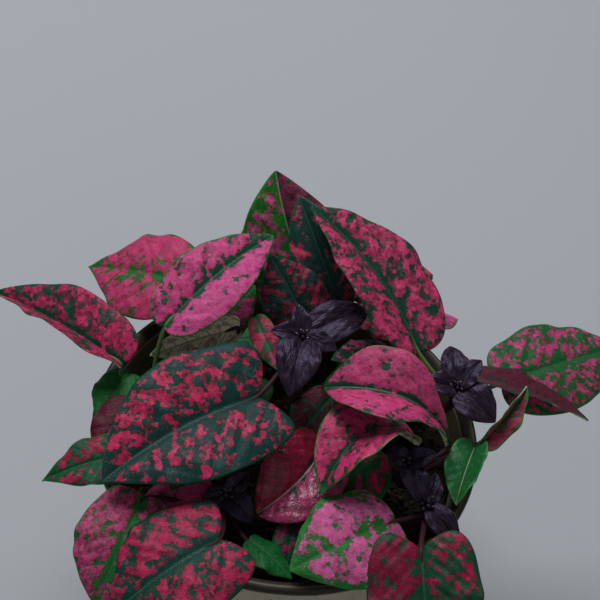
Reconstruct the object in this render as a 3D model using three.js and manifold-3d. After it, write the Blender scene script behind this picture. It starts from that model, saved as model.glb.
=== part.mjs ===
// Potted polka dot plant (Hypoestes phyllostachya): several leafy stems in a small tapered pot.
// Millimetres, +Z up. The origin is the centre of the pot's foot, and -Y is the front.

import * as THREE from 'three';
import { mergeVertices } from 'three/addons/utils/BufferGeometryUtils.js';
import Module from 'manifold-3d';

const wasm = await Module();
wasm.setup();

// ---------------------------------------------------------------- driving dimensions

const POT = {
  rimRadius: 55,       // outside of the lip
  height: 98,
  wall: 2.8,
  footRadius: 38,
  floor: 5,
  lipHeight: 7,        // turned band below the rim
  lipStep: 1.2,        // how far the band stands out from the wall
  footEdge: 1.5,
  sides: 40,
};
const SOIL = {
  top: 86,
  rings: 6,
  heap: 1.1,           // height of the low heaps on the top
  broad: 0.3,          // how fast the broad and the fine heaps follow each other (radians a mm)
  fine: 0.8,
  seat: 0.36,          // between the soil and the sloping wall
  holeDepth: 12,       // holes that the stems stand in
  holeGap: 0.9,
  holeSides: 12,
};
const GAP = 0.3;       // between pieces that touch
const STEM = {
  radius: 1.5,
  sides: 6,
  steps: 6,
  straight: [-4, 3],   // stretch that stands upright, from below the soil's top to above it
  neck: 4,             // upright stretch under the top
};
const PETIOLE = {
  radius: 0.85,
  sides: 5,
  steps: 4,
  joins: 0.02,         // where it meets the midrib and where it ends under it (0..1 of the blade)
  ends: 0.16,
  below: 0.55,         // depth of its axis under the midrib
};
const BUD = 2.2;       // radius of the bud in a crown

// A blade, and what it has where its row doesn't say otherwise.
const BLADE = 0.7;     // thickness
const LEAF = { skew: 0, lobe: 0.4, wave: 0.6, rise: 0.5, fall: 0.88 };
const YOUNG = { lobe: -0.1, wave: 0.3 };
const WAVES = { count: 2.5, shift: 1.3 };      // along each margin, and between the two (radians)
const VEINS = { forward: 0.22, from: 0.4 };    // how far the halves sweep to the tip, and from where
const BLADE_GRID = { along: [0, 0.04, 0.16, 0.34, 0.54, 0.74, 0.9, 1], across: [-1, -0.5, 0, 0.5, 1] };
const YOUNG_GRID = { along: [0, 0.1, 0.35, 0.62, 0.86, 1], across: [-1, 0, 1] };
const PROBE = { step: 0.01, end: 0.03, margin: 0.9 };    // for the slope of the blade

const WELD = 1e-4;

const STONEWARE = { color: 0xa89c8a, roughness: 0.8 };
const EARTH = { color: 0x1d1612, roughness: 1 };
const CRIMSON = { color: 0x8e2440, roughness: 0.45 };
const NEARLY_BLACK = { color: 0x2a1824, roughness: 0.3 };

// ---------------------------------------------------------------- stems and leaves, by hand

// foot: place in the soil. top: where the crown of young leaves sits.
const STEMS = {
  centre: { foot: [2, 2], top: [0, 9, 123] },
  back: { foot: [8, 30], top: [4, 36, 108] },
  back_left: { foot: [-26, 20], top: [-34, 26, 108] },
  left: { foot: [-34, -8], top: [-49, 0, 101] },
  front_left: { foot: [-12, -26], top: [-13, -31, 100] },
  front_right: { foot: [30, -24], top: [41, -23, 100] },
  right_front: { foot: [28, -6], top: [34, -15, 107] },
  right_back: { foot: [34, 14], top: [45, 11, 111] },
};

// Each leaf's stalk leaves its stem at a place along it (0 at the foot, 1 at the top), and its blade
// runs from base to tip. roll turns the face about that line, to the right of a walker going to the
// tip. fold lifts both halves from the midrib and curl bends them down again (degrees). arch lifts
// the middle of the midrib and skew bends it to the left (mm). lobe draws the blade back beside its
// base, as in a heart. A larger rise narrows the base and a larger fall narrows the tip. wave is the
// height of the waves of the margin (mm).
const LEAVES = [
  { name: 'far_left', stem: 'left', at: 0.95, base: [-48, 3, 108], tip: [-91, 24, 106],
    width: 25, roll: 6, fold: 45, curl: 10, arch: 2, fall: 1 },
  { name: 'behind_left', stem: 'back_left', at: 0.8, base: [-38, 37, 110], tip: [-68, 48, 98],
    width: 30, roll: -20, fall: 1.25, fold: 12, curl: 30, arch: 2 },
  { name: 'light_pink', stem: 'left', at: 0.6, base: [-38, 5, 124], tip: [-13, 39, 133],
    width: 22, roll: 8, fold: 20, curl: 30, arch: 3, skew: 0.8, lobe: 0.25 },
  { name: 'green_edged', stem: 'back_left', at: 0.7, base: [-27, 15, 112], tip: [-16, 32, 119],
    width: 14, roll: 20, fold: 10, curl: 30, arch: 1 },
  { name: 'pale_underside', stem: 'back_left', at: 0.5, base: [-18, 16, 118], tip: [-41, 3, 114],
    width: 14, roll: 100, fold: 10, curl: 30, arch: 1 },
  { name: 'highest', stem: 'back', at: 1, base: [4, 38, 106], tip: [-16, 60, 139],
    width: 33, roll: -38, fold: 15, curl: 20, arch: 2, skew: 1.5 },
  { name: 'dark_upright', stem: 'back', at: 0.95, base: [8, 33, 118], tip: [-8, 52, 138],
    width: 18, roll: -28, fold: 20, curl: 30, arch: 2 },
  { name: 'big_upper_right', stem: 'right_back', at: 0.85, base: [33, 18, 118], tip: [-4, 46, 140],
    width: 29, roll: 5, fold: 30, curl: 30, arch: 2, skew: -3, lobe: 0.3 },
  { name: 'arched_pink', stem: 'right_front', at: 0.85, base: [46, -4, 105], tip: [8, -3, 120],
    width: 26, roll: -7, fold: 34, curl: 20, arch: 12, lobe: 0, rise: 1.9, fall: 0.95 },
  { name: 'red_hanging', stem: 'right_front', at: 0.9, base: [37, -5, 106], tip: [12, -30, 109],
    width: 23, roll: 16, fold: 30, curl: 20, arch: 11, skew: -2, rise: 0.9, fall: 0.9, lobe: 0.1 },
  { name: 'wine_red', stem: 'centre', at: 0.6, base: [11, -10, 105], tip: [-4, -32, 98],
    width: 24, roll: -18, fold: 35, curl: 35, arch: 3, skew: 2, fall: 0.7 },
  { name: 'front_pink', stem: 'front_right', at: 0.9, base: [33, -30, 103], tip: [7, -51, 102],
    width: 28, roll: -16, fold: 6, curl: 30, arch: 3, lobe: 0.3 },
  { name: 'front_right_heart', stem: 'front_right', at: 0.85, base: [40, -40, 106], tip: [46, -61, 90],
    width: 31, roll: 8, fold: 20, curl: 30, arch: 2, lobe: 0.8 },
  { name: 'front_left_heart', stem: 'front_left', at: 0.9, base: [-12, -49, 108], tip: [-36, -69, 95],
    width: 33, roll: -5, fold: 10, curl: 30, arch: 3, lobe: 0.8 },
  { name: 'front_left_rear', stem: 'front_left', at: 0.8, base: [-34, -37, 104], tip: [-41, -64, 91],
    width: 26, roll: -10, fold: 8, curl: 30, arch: 4, fall: 0.75 },
  { name: 'small_left', stem: 'left', at: 0.7, base: [-41, -26, 106], tip: [-62, -35, 100],
    width: 15, roll: -10, fold: 20, curl: 30, arch: 2, fall: 1.15 },
  { name: 'big_dark', stem: 'centre', at: 0.95, base: [-9, -9, 119], tip: [-45, -40, 111],
    width: 38, roll: -12, fold: 20, curl: 26, arch: 2, skew: -2, lobe: 0.7, rise: 0.42, fall: 0.9 },
  { name: 'plain_green_left', stem: 'left', at: 0.9, base: [-46, 3, 105], tip: [-52, -12, 101],
    width: 14, roll: 0, fold: 8, curl: 30, arch: 1 },
  { name: 'dark_strip_left', stem: 'left', at: 0.8, base: [-44, -7, 106], tip: [-50, -25, 101],
    width: 13, roll: 0, fold: 8, curl: 30, arch: 1 },
  { name: 'magenta_small', stem: 'front_left', at: 0.7, base: [-19, -26, 102], tip: [-35, -37, 98],
    width: 14, roll: 0, fold: 8, curl: 30, arch: 1 },
  { name: 'narrow_red', stem: 'centre', at: 0.8, base: [-14, 17, 122], tip: [-4, -1, 121],
    width: 8, roll: 28, fold: 8, curl: 30, arch: 1 },
  { name: 'small_teal', stem: 'right_back', at: 0.6, base: [25, 24, 110], tip: [9, 13, 114],
    width: 12, roll: 0, fold: 8, curl: 30, arch: 1 },
  { name: 'deep_crimson', stem: 'centre', at: 0.6, base: [3, 24, 112], tip: [-13, 36, 128],
    width: 20, roll: -35, fold: 8, curl: 30, arch: 1 },
  { name: 'maroon_right', stem: 'right_back', at: 0.9, base: [49, 23, 106], tip: [87, 23, 96],
    width: 20, roll: -28, fold: 16, curl: 10, arch: 2 },
  { name: 'far_right', stem: 'right_back', at: 0.8, base: [60, 30, 98], tip: [98, 57, 94],
    width: 30, roll: 15, fold: 8, curl: 30, arch: 2 },
  { name: 'right_blade', stem: 'right_front', at: 0.8, base: [54, 0, 104], tip: [65, 16, 114],
    width: 10, roll: 50, fold: 50, curl: 10, arch: 1 },
  { name: 'right_green', stem: 'right_front', at: 0.7, base: [53, 0, 104], tip: [49, -20, 101],
    width: 13, roll: 20, fold: 35, curl: 10, arch: 1 },
  { name: 'green_margin', stem: 'right_front', at: 0.7, base: [25, -8, 104], tip: [13, -29, 96],
    width: 20, roll: -10, fold: 8, curl: 30, arch: 1 },
  { name: 'dusky_small', stem: 'front_left', at: 0.7, base: [6, -33, 97], tip: [6, -43, 91],
    width: 10, roll: -10, fold: 8, curl: 30, arch: 1 },
  { name: 'plain_green_front', stem: 'front_left', at: 0.7, base: [-5, -41, 98], tip: [8, -48, 94],
    width: 10, roll: -10, fold: 8, curl: 30, arch: 1 },
  { name: 'dull_inner', stem: 'centre', at: 0.4, base: [12, 8, 106], tip: [2, -12, 104],
    width: 16, roll: 0, fold: 8, curl: 30, arch: 1 },
  { name: 'back_middle_droop', stem: 'back', at: 0.8, base: [12, 48, 104], tip: [17, 78, 84],
    width: 27, roll: 0, fold: 12, curl: 30, arch: 5 },
  { name: 'back_left_of_middle', stem: 'back', at: 0.6, base: [-15, 47, 102], tip: [-24, 75, 84],
    width: 27, roll: 0, fold: 12, curl: 30, arch: 5 },
  { name: 'back_left_droop', stem: 'back_left', at: 0.5, base: [-36, 39, 104], tip: [-51, 58, 88],
    width: 20, roll: 0, fold: 12, curl: 30, arch: 3 },
  { name: 'back_upper', stem: 'back', at: 0.9, base: [8, 44, 110], tip: [4, 72, 108],
    width: 27, roll: 0, fold: 10, curl: 30, arch: 3 },
  { name: 'back_right_inner', stem: 'right_back', at: 0.7, base: [19, 33, 107], tip: [30, 56, 102],
    width: 19, roll: 0, fold: 10, curl: 30, arch: 3 },
  { name: 'back_left_inner', stem: 'back_left', at: 0.9, base: [-24, 36, 106], tip: [-31, 64, 98],
    width: 24, roll: 0, fold: 10, curl: 30, arch: 3 },
  { name: 'back_right_droop', stem: 'right_back', at: 0.5, base: [34, 42, 103], tip: [41, 65, 84],
    width: 17, roll: 0, fold: 12, curl: 30, arch: 4 },
  { name: 'rear_top_left', stem: 'back', at: 0.97, base: [-4, 52, 113], tip: [-22, 72, 104],
    width: 24, roll: 0, fold: 12, curl: 30, arch: 4 },
  { name: 'rear_top_right', stem: 'back', at: 0.85, base: [22, 46, 117], tip: [30, 63, 108],
    width: 20, roll: 0, fold: 12, curl: 30, arch: 3 },
  { name: 'low_right', stem: 'centre', at: 0.45, base: [12, 12, 99], tip: [28, 32, 97],
    width: 16, roll: 0, fold: 12, curl: 30, arch: 2 },
  { name: 'low_left', stem: 'centre', at: 0.45, base: [-14, -9, 99], tip: [-35, -17, 95],
    width: 20, roll: 0, fold: 12, curl: 30, arch: 3 },
  { name: 'low_back', stem: 'back_left', at: 0.45, base: [-21, 26, 100], tip: [-4, 30, 97],
    width: 16, roll: 0, fold: 12, curl: 30, arch: 2 },
  { name: 'low_centre', stem: 'centre', at: 0.35, base: [-7, 6, 99], tip: [-29, 10, 96],
    width: 19, roll: 0, fold: 12, curl: 30, arch: 3 },
];

// Young leaves round the buds. Each crown sits on the top of the stem of the same name.
const CROWNS = [
  { crown: 'centre', tip: [-1, -9, 121], width: 13, roll: -4, fold: 25, curl: 30, arch: 3 },
  { crown: 'centre', tip: [17, 24, 125], width: 12, roll: 20, fold: 25, curl: 30, arch: 3 },
  { crown: 'centre', tip: [-9, 8, 127], width: 7, roll: -20, fold: 30, curl: 20, arch: 1 },
  { crown: 'centre', tip: [10, 7, 125], width: 7, roll: 20, fold: 30, curl: 20, arch: 1 },
  { crown: 'centre', tip: [-3, 17, 130], width: 6, roll: 0, fold: 30, curl: 20, arch: 1 },
  { crown: 'right_back', tip: [42, 25, 115], width: 9, roll: 0, fold: 25, curl: 30, arch: 2 },
  { crown: 'right_back', tip: [57, 4, 110], width: 12, roll: 20, fold: 25, curl: 30, arch: 2 },
  { crown: 'right_back', tip: [35, 9, 116], width: 8, roll: -20, fold: 30, curl: 20, arch: 1 },
  { crown: 'right_back', tip: [51, 19, 118], width: 8, roll: 0, fold: 30, curl: 20, arch: 1 },
  { crown: 'right_front', tip: [38, -24, 105], width: 8, roll: 0, fold: 25, curl: 30, arch: 2 },
  { crown: 'right_front', tip: [28, -13, 111], width: 6, roll: -20, fold: 25, curl: 30, arch: 1 },
  { crown: 'right_front', tip: [41, -13, 113], width: 6, roll: 20, fold: 30, curl: 20, arch: 1 },
  { crown: 'front_right', tip: [51, -30, 97], width: 8, roll: 20, fold: 25, curl: 30, arch: 2 },
  { crown: 'front_right', tip: [40, -21, 103], width: 6, roll: -20, fold: 25, curl: 30, arch: 1 },
  { crown: 'front_right', tip: [42, -14, 106], width: 6, roll: 20, fold: 30, curl: 20, arch: 1 },
  { crown: 'front_left', tip: [-5, -36, 99], width: 8, roll: 10, fold: 25, curl: 30, arch: 2 },
  { crown: 'front_left', tip: [-19, -34, 102], width: 7, roll: -20, fold: 25, curl: 30, arch: 1 },
  { crown: 'front_left', tip: [-8, -24, 105], width: 6, roll: 20, fold: 30, curl: 20, arch: 1 },
  { crown: 'back_left', tip: [-42, 25, 111], width: 7, roll: 0, fold: 25, curl: 30, arch: 1 },
  { crown: 'back_left', tip: [-30, 20, 113], width: 6, roll: 0, fold: 30, curl: 20, arch: 1 },
  { crown: 'back_left', tip: [-31, 32, 113], width: 6, roll: 0, fold: 30, curl: 20, arch: 1 },
];

// ---------------------------------------------------------------- solids

function solid(geometry) {
  const plain = geometry.clone();
  plain.deleteAttribute('normal');
  plain.deleteAttribute('uv');
  const welded = mergeVertices(plain, WELD);
  return new wasm.Manifold(new wasm.Mesh({
    numProp: 3,
    vertProperties: Float32Array.from(welded.attributes.position.array),
    triVerts: Uint32Array.from(welded.index.array),
  }));
}

function geometryOf(manifold) {
  const mesh = manifold.getMesh();
  const geometry = new THREE.BufferGeometry();
  geometry.setAttribute('position', new THREE.BufferAttribute(mesh.vertProperties, 3));
  geometry.setIndex(new THREE.BufferAttribute(mesh.triVerts, 1));
  geometry.computeVertexNormals();
  return geometry;
}

function tube(points, radius, sides, steps) {
  const section = new THREE.Shape();
  for (let i = 0; i < sides; i++) {
    const a = (i / sides) * 2 * Math.PI;
    if (i === 0) section.moveTo(radius, 0);
    else section.lineTo(radius * Math.cos(a), radius * Math.sin(a));
  }
  const extrudePath = new THREE.CatmullRomCurve3(points, false, 'centripetal');
  return new THREE.ExtrudeGeometry(section, { extrudePath, steps, bevelEnabled: false });
}

// ---------------------------------------------------------------- leaves

// Half width along the blade, 1 at its widest.
function outline(leaf, t) {
  const { rise, fall } = leaf;
  const widest = rise / (rise + fall);
  return (t ** rise * (1 - t) ** fall) / (widest ** rise * (1 - widest) ** fall);
}

// The straight line from base to tip, and the directions of the face and of its left.
function bladeFrame(leaf) {
  const base = new THREE.Vector3(...leaf.base);
  const along = new THREE.Vector3(...leaf.tip).sub(base);
  const length = along.length();
  along.normalize();
  const up = new THREE.Vector3(0, 0, 1).addScaledVector(along, -along.z).normalize();
  up.applyAxisAngle(along, THREE.MathUtils.degToRad(leaf.roll));
  const side = new THREE.Vector3().crossVectors(up, along);
  return { base, along, up, side, length };
}

// A point of the blade's middle surface, t along it (0..1) and s across it (-1..1).
function bladePoint(leaf, frame, t, s) {
  const { arch, skew, lobe, wave } = leaf;
  const bow = 4 * t * (1 - t);
  const slope = 4 * (1 - 2 * t);
  const mid = frame.base.clone()
    .addScaledVector(frame.along, frame.length * t)
    .addScaledVector(frame.up, arch * bow)
    .addScaledVector(frame.side, skew * bow);
  const tangent = frame.along.clone().multiplyScalar(frame.length)
    .addScaledVector(frame.up, arch * slope)
    .addScaledVector(frame.side, skew * slope)
    .normalize();
  const normal = frame.up.clone().addScaledVector(tangent, -frame.up.dot(tangent)).normalize();
  const across = new THREE.Vector3().crossVectors(normal, tangent);
  const half = (leaf.width / 2) * outline(leaf, t);
  const fold = THREE.MathUtils.degToRad(leaf.fold);
  const curl = THREE.MathUtils.degToRad(leaf.curl);
  const u = Math.abs(s);
  const out = half * (Math.sin(fold) - Math.sin(fold - curl * u)) / curl;
  const ripple = wave * Math.sin(2 * Math.PI * WAVES.count * t + (s > 0 ? WAVES.shift : 0));
  const lift = half * (Math.cos(fold - curl * u) - Math.cos(fold)) / curl
    + ripple * u * u * outline(leaf, t);
  const forward = (lobe + VEINS.forward) * THREE.MathUtils.smoothstep(t, 0, VEINS.from);
  const sweep = (forward - lobe) * (1 - t);
  return mid
    .addScaledVector(across, Math.sign(s) * out)
    .addScaledVector(normal, lift)
    .addScaledVector(tangent, sweep * half * u);
}

// The upward normal of the middle surface.
function bladeNormal(leaf, frame, t, s) {
  const { step, end, margin } = PROBE;
  const tIn = THREE.MathUtils.clamp(t, end, 1 - end);
  const sIn = THREE.MathUtils.clamp(s, -margin, margin);
  const down = bladePoint(leaf, frame, tIn + step, sIn).sub(bladePoint(leaf, frame, tIn - step, sIn));
  const over = bladePoint(leaf, frame, tIn, sIn + step).sub(bladePoint(leaf, frame, tIn, sIn - step));
  return new THREE.Vector3().crossVectors(down, over).normalize();
}

// Both faces are triangulated alike, half the thickness above and below the middle surface.
// The base and the tip are one point of each face.
function blade(leaf, grid) {
  const frame = bladeFrame(leaf);
  const last = grid.along.length - 1;
  const cols = grid.across.length;
  const positions = [];
  const index = [{}, {}];
  for (const face of [0, 1]) {
    grid.along.forEach((t, i) => {
      grid.across.forEach((s, j) => {
        const isEnd = i === 0 || i === last;
        if (isEnd && j > 0) {
          index[face][`${i},${j}`] = index[face][`${i},0`];
          return;
        }
        const across = isEnd ? 0 : s;
        const offset = (face === 0 ? BLADE : -BLADE) / 2;
        const p = bladePoint(leaf, frame, t, across)
          .addScaledVector(bladeNormal(leaf, frame, t, across), offset);
        index[face][`${i},${j}`] = positions.length / 3;
        positions.push(...p.toArray());
      });
    });
  }
  const faces = [];
  const add = (a, b, c) => {
    if (a !== b && b !== c && c !== a) faces.push(a, b, c);
  };
  const at = (face, i, j) => index[face][`${i},${j}`];
  for (let i = 0; i < last; i++) {
    for (let j = 0; j < cols - 1; j++) {
      add(at(0, i, j), at(0, i + 1, j + 1), at(0, i, j + 1));
      add(at(0, i, j), at(0, i + 1, j), at(0, i + 1, j + 1));
      add(at(1, i, j), at(1, i, j + 1), at(1, i + 1, j + 1));
      add(at(1, i, j), at(1, i + 1, j + 1), at(1, i + 1, j));
    }
    for (const [j, upper, lower] of [[0, 0, 1], [cols - 1, 1, 0]]) {
      add(at(upper, i, j), at(lower, i, j), at(lower, i + 1, j));
      add(at(upper, i, j), at(lower, i + 1, j), at(upper, i + 1, j));
    }
  }
  const geometry = new THREE.BufferGeometry();
  geometry.setAttribute('position', new THREE.Float32BufferAttribute(positions, 3));
  geometry.setIndex(faces);
  return geometry;
}

// ---------------------------------------------------------------- stems, stalks and crowns

// A stem stands upright in its hole, leans over and rises to its top.
function stemPath(stem) {
  const [x, y] = stem.foot;
  const [topX, topY, topZ] = stem.top;
  const [sinks, rises] = STEM.straight;
  return new THREE.CatmullRomCurve3([
    new THREE.Vector3(x, y, SOIL.top - SOIL.holeDepth + GAP),
    new THREE.Vector3(x, y, SOIL.top + sinks),
    new THREE.Vector3(x, y, SOIL.top + rises),
    new THREE.Vector3(topX, topY, topZ - STEM.neck),
    new THREE.Vector3(topX, topY, topZ),
  ], false, 'centripetal');
}

function stemSolid(stem) {
  return solid(tube(stemPath(stem).points, STEM.radius, STEM.sides, STEM.steps));
}

// The stalk leaves the stem's axis and runs on under the midrib.
function stalk(leaf) {
  const path = stemPath(STEMS[leaf.stem]);
  const frame = bladeFrame(leaf);
  const start = path.getPoint(leaf.at);
  const under = (t) => bladePoint(leaf, frame, t, 0)
    .addScaledVector(bladeNormal(leaf, frame, t, 0), -PETIOLE.below);
  const points = [start, under(PETIOLE.joins), under(PETIOLE.ends)];
  return solid(tube(points, PETIOLE.radius, PETIOLE.sides, PETIOLE.steps));
}

function leafyStem(name) {
  let body = stemSolid(STEMS[name]);
  for (const row of LEAVES.filter((one) => one.stem === name)) {
    const leaf = { ...LEAF, ...row };
    body = body.add(stalk(leaf)).add(solid(blade(leaf, BLADE_GRID)));
  }
  return body;
}

// A bud on the stem's top with young leaves round it.
function crown(name) {
  const [x, y, z] = STEMS[name].top;
  const centre = [x, y, z + GAP + BUD];
  const bud = new THREE.IcosahedronGeometry(BUD, 0).translate(...centre);
  let body = solid(bud);
  for (const row of CROWNS.filter((one) => one.crown === name)) {
    const leaf = { ...LEAF, ...YOUNG, ...row, base: centre };
    body = body.add(solid(blade(leaf, YOUNG_GRID)));
  }
  return body;
}

// ---------------------------------------------------------------- pot and soil

const taper = (z) => POT.footRadius + ((POT.rimRadius - POT.lipStep - POT.footRadius) * z) / POT.height;
const inner = (z) => taper(z) - POT.wall;

// Turns [radius, height] points round the pot's axis.
function turned(profile) {
  const points = profile.map(([r, z]) => new THREE.Vector2(r, z));
  return new THREE.LatheGeometry(points, POT.sides).rotateX(Math.PI / 2);
}

function pot() {
  const lipUnder = POT.height - POT.lipHeight;
  const round = POT.wall / 2;
  const corner = round * (1 - Math.SQRT1_2);
  const profile = [
    [0, 0], [POT.footRadius - POT.footEdge, 0], [taper(POT.footEdge), POT.footEdge],
    [taper(lipUnder), lipUnder], [taper(lipUnder) + POT.lipStep, lipUnder + POT.lipStep],
    [POT.rimRadius, POT.height - round],
    [POT.rimRadius - corner, POT.height - corner],
    [POT.rimRadius - round, POT.height],
    [POT.rimRadius - 2 * round, POT.height],
    [inner(POT.height), POT.height - round],
    [inner(POT.floor), POT.floor], [0, POT.floor],
  ];
  return turned(profile);
}

// Height of the heaps of potting mix over the level top.
function heaps(x, y) {
  const { heap, broad, fine } = SOIL;
  const low = Math.sin(broad * (x + y / 2)) * Math.cos(broad * (y - x / 3));
  const rough = Math.sin(fine * (x + 2)) * Math.sin(fine * y);
  return heap * (low + rough / 2);
}

function soil() {
  const bottom = POT.floor + GAP;
  const edge = inner(SOIL.top) - SOIL.seat;
  const profile = [[0, bottom], [inner(bottom) - SOIL.seat, bottom], [edge, SOIL.top]];
  for (let i = SOIL.rings - 1; i >= 0; i--) profile.push([(edge * i) / SOIL.rings, SOIL.top]);
  const geometry = turned(profile);
  const position = geometry.attributes.position;
  for (let i = 0; i < position.count; i++) {
    const [x, y, z] = [position.getX(i), position.getY(i), position.getZ(i)];
    const isInside = Math.hypot(x, y) < edge - GAP;
    if (isInside && z > SOIL.top - GAP) position.setZ(i, z + heaps(x, y));
  }
  let body = solid(geometry);
  const radius = STEM.radius + SOIL.holeGap;
  for (const { foot: [x, y] } of Object.values(STEMS)) {
    const hole = new THREE.CylinderGeometry(radius, radius, 2 * SOIL.holeDepth, SOIL.holeSides)
      .rotateX(Math.PI / 2)
      .translate(x, y, SOIL.top);
    body = body.subtract(solid(hole));
  }
  return body;
}

// ---------------------------------------------------------------- assembly

const group = new THREE.Group();

function piece(name, geometry, look) {
  const mesh = new THREE.Mesh(geometry, new THREE.MeshStandardMaterial({ ...look, metalness: 0 }));
  mesh.name = name;
  group.add(mesh);
}

piece('pot', pot(), STONEWARE);
piece('soil', geometryOf(soil()), EARTH);
for (const name of Object.keys(STEMS)) {
  piece(`leafy_stem_${name}`, geometryOf(leafyStem(name)), CRIMSON);
}
for (const name of new Set(CROWNS.map((row) => row.crown))) {
  piece(`crown_${name}`, geometryOf(crown(name)), NEARLY_BLACK);
}

export default group;
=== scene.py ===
import math
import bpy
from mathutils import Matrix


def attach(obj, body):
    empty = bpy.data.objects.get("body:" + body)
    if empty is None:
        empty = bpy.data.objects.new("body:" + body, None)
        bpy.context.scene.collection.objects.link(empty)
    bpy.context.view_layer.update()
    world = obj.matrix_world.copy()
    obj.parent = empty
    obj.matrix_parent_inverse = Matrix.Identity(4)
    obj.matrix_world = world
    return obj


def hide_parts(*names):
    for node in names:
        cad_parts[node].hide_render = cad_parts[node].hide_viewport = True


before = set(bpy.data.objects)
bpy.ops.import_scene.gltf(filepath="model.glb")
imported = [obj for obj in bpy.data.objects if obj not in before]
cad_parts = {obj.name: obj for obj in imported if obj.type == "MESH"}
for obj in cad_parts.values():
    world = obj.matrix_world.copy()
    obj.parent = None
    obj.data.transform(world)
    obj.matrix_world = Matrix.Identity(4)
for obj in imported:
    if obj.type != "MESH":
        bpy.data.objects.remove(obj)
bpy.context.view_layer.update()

from types import SimpleNamespace

import bmesh
import bpy
import numpy as np
from mathutils import Matrix, Vector

# Potted polka dot plant. Lengths are in millimetres and are turned into metres when a mesh is made.
# The lists and the blade's formula are those of the part's source.

MM = 0.001

# ------------------------ sizes, as in the part

RIM_RADIUS = 55
POT_HEIGHT = 98
POT_WALL = 2.8
FOOT_RADIUS = 38
POT_FLOOR = 5
LIP_HEIGHT = 7
LIP_STEP = 1.2
SOIL_TOP = 86
SOIL_CLEAR = 0.36
HOLE_DEPTH = 12
GAP = 0.3
STEM_RADIUS = 1.5
STRAIGHT = (-4, 3)    # a stem stands straight from under the soil's top to over it
NECK = 4    # and over this length at its top
PETIOLE_RADIUS = 0.85    # a petiole is the stalk of a leaf
PETIOLE_JOINS = 0.02    # where it joins the midrib and ends, as shares of the blade's length
PETIOLE_ENDS = 0.16
PETIOLE_BELOW = 0.55    # how far it lies under the blade there
BUD = 2.2    # radius of a crown's core

# what a row leaves out: angles in degrees, arch and skew in mm
LEAF = dict(roll=0, fold=8, curl=30, arch=1, skew=0, lobe=0.4, wave=0.6, rise=0.5, fall=0.88)
YOUNG = dict(LEAF, fold=30, curl=20, lobe=-0.1, wave=0.3)
WAVE_COUNT, WAVE_SHIFT = 2.5, 1.3    # waves of a margin, and where one side's start, in radians
FORWARD, FORWARD_FROM = 0.22, 0.4    # how far a blade's sides lean forward, and from where along it


def leaf(name, stem, at, base, tip, width, **shape):
    return dict(LEAF, name=name, stem=stem, at=at, base=base, tip=tip, width=width, **shape)


def young(tip, width, **shape):
    return dict(YOUNG, tip=tip, width=width, **shape)


def opened(tip, width, **shape):
    return young(tip, width, fold=25, curl=30, **shape)


STEMS = {
    "centre": dict(foot=(2, 2), top=(0, 9, 123)),
    "back": dict(foot=(8, 30), top=(4, 36, 108)),
    "back_left": dict(foot=(-26, 20), top=(-34, 26, 108)),
    "left": dict(foot=(-34, -8), top=(-49, 0, 101)),
    "front_left": dict(foot=(-12, -26), top=(-13, -31, 100)),
    "front_right": dict(foot=(30, -24), top=(41, -23, 100)),
    "right_front": dict(foot=(28, -6), top=(34, -15, 107)),
    "right_back": dict(foot=(34, 14), top=(45, 11, 111)),
}

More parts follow.
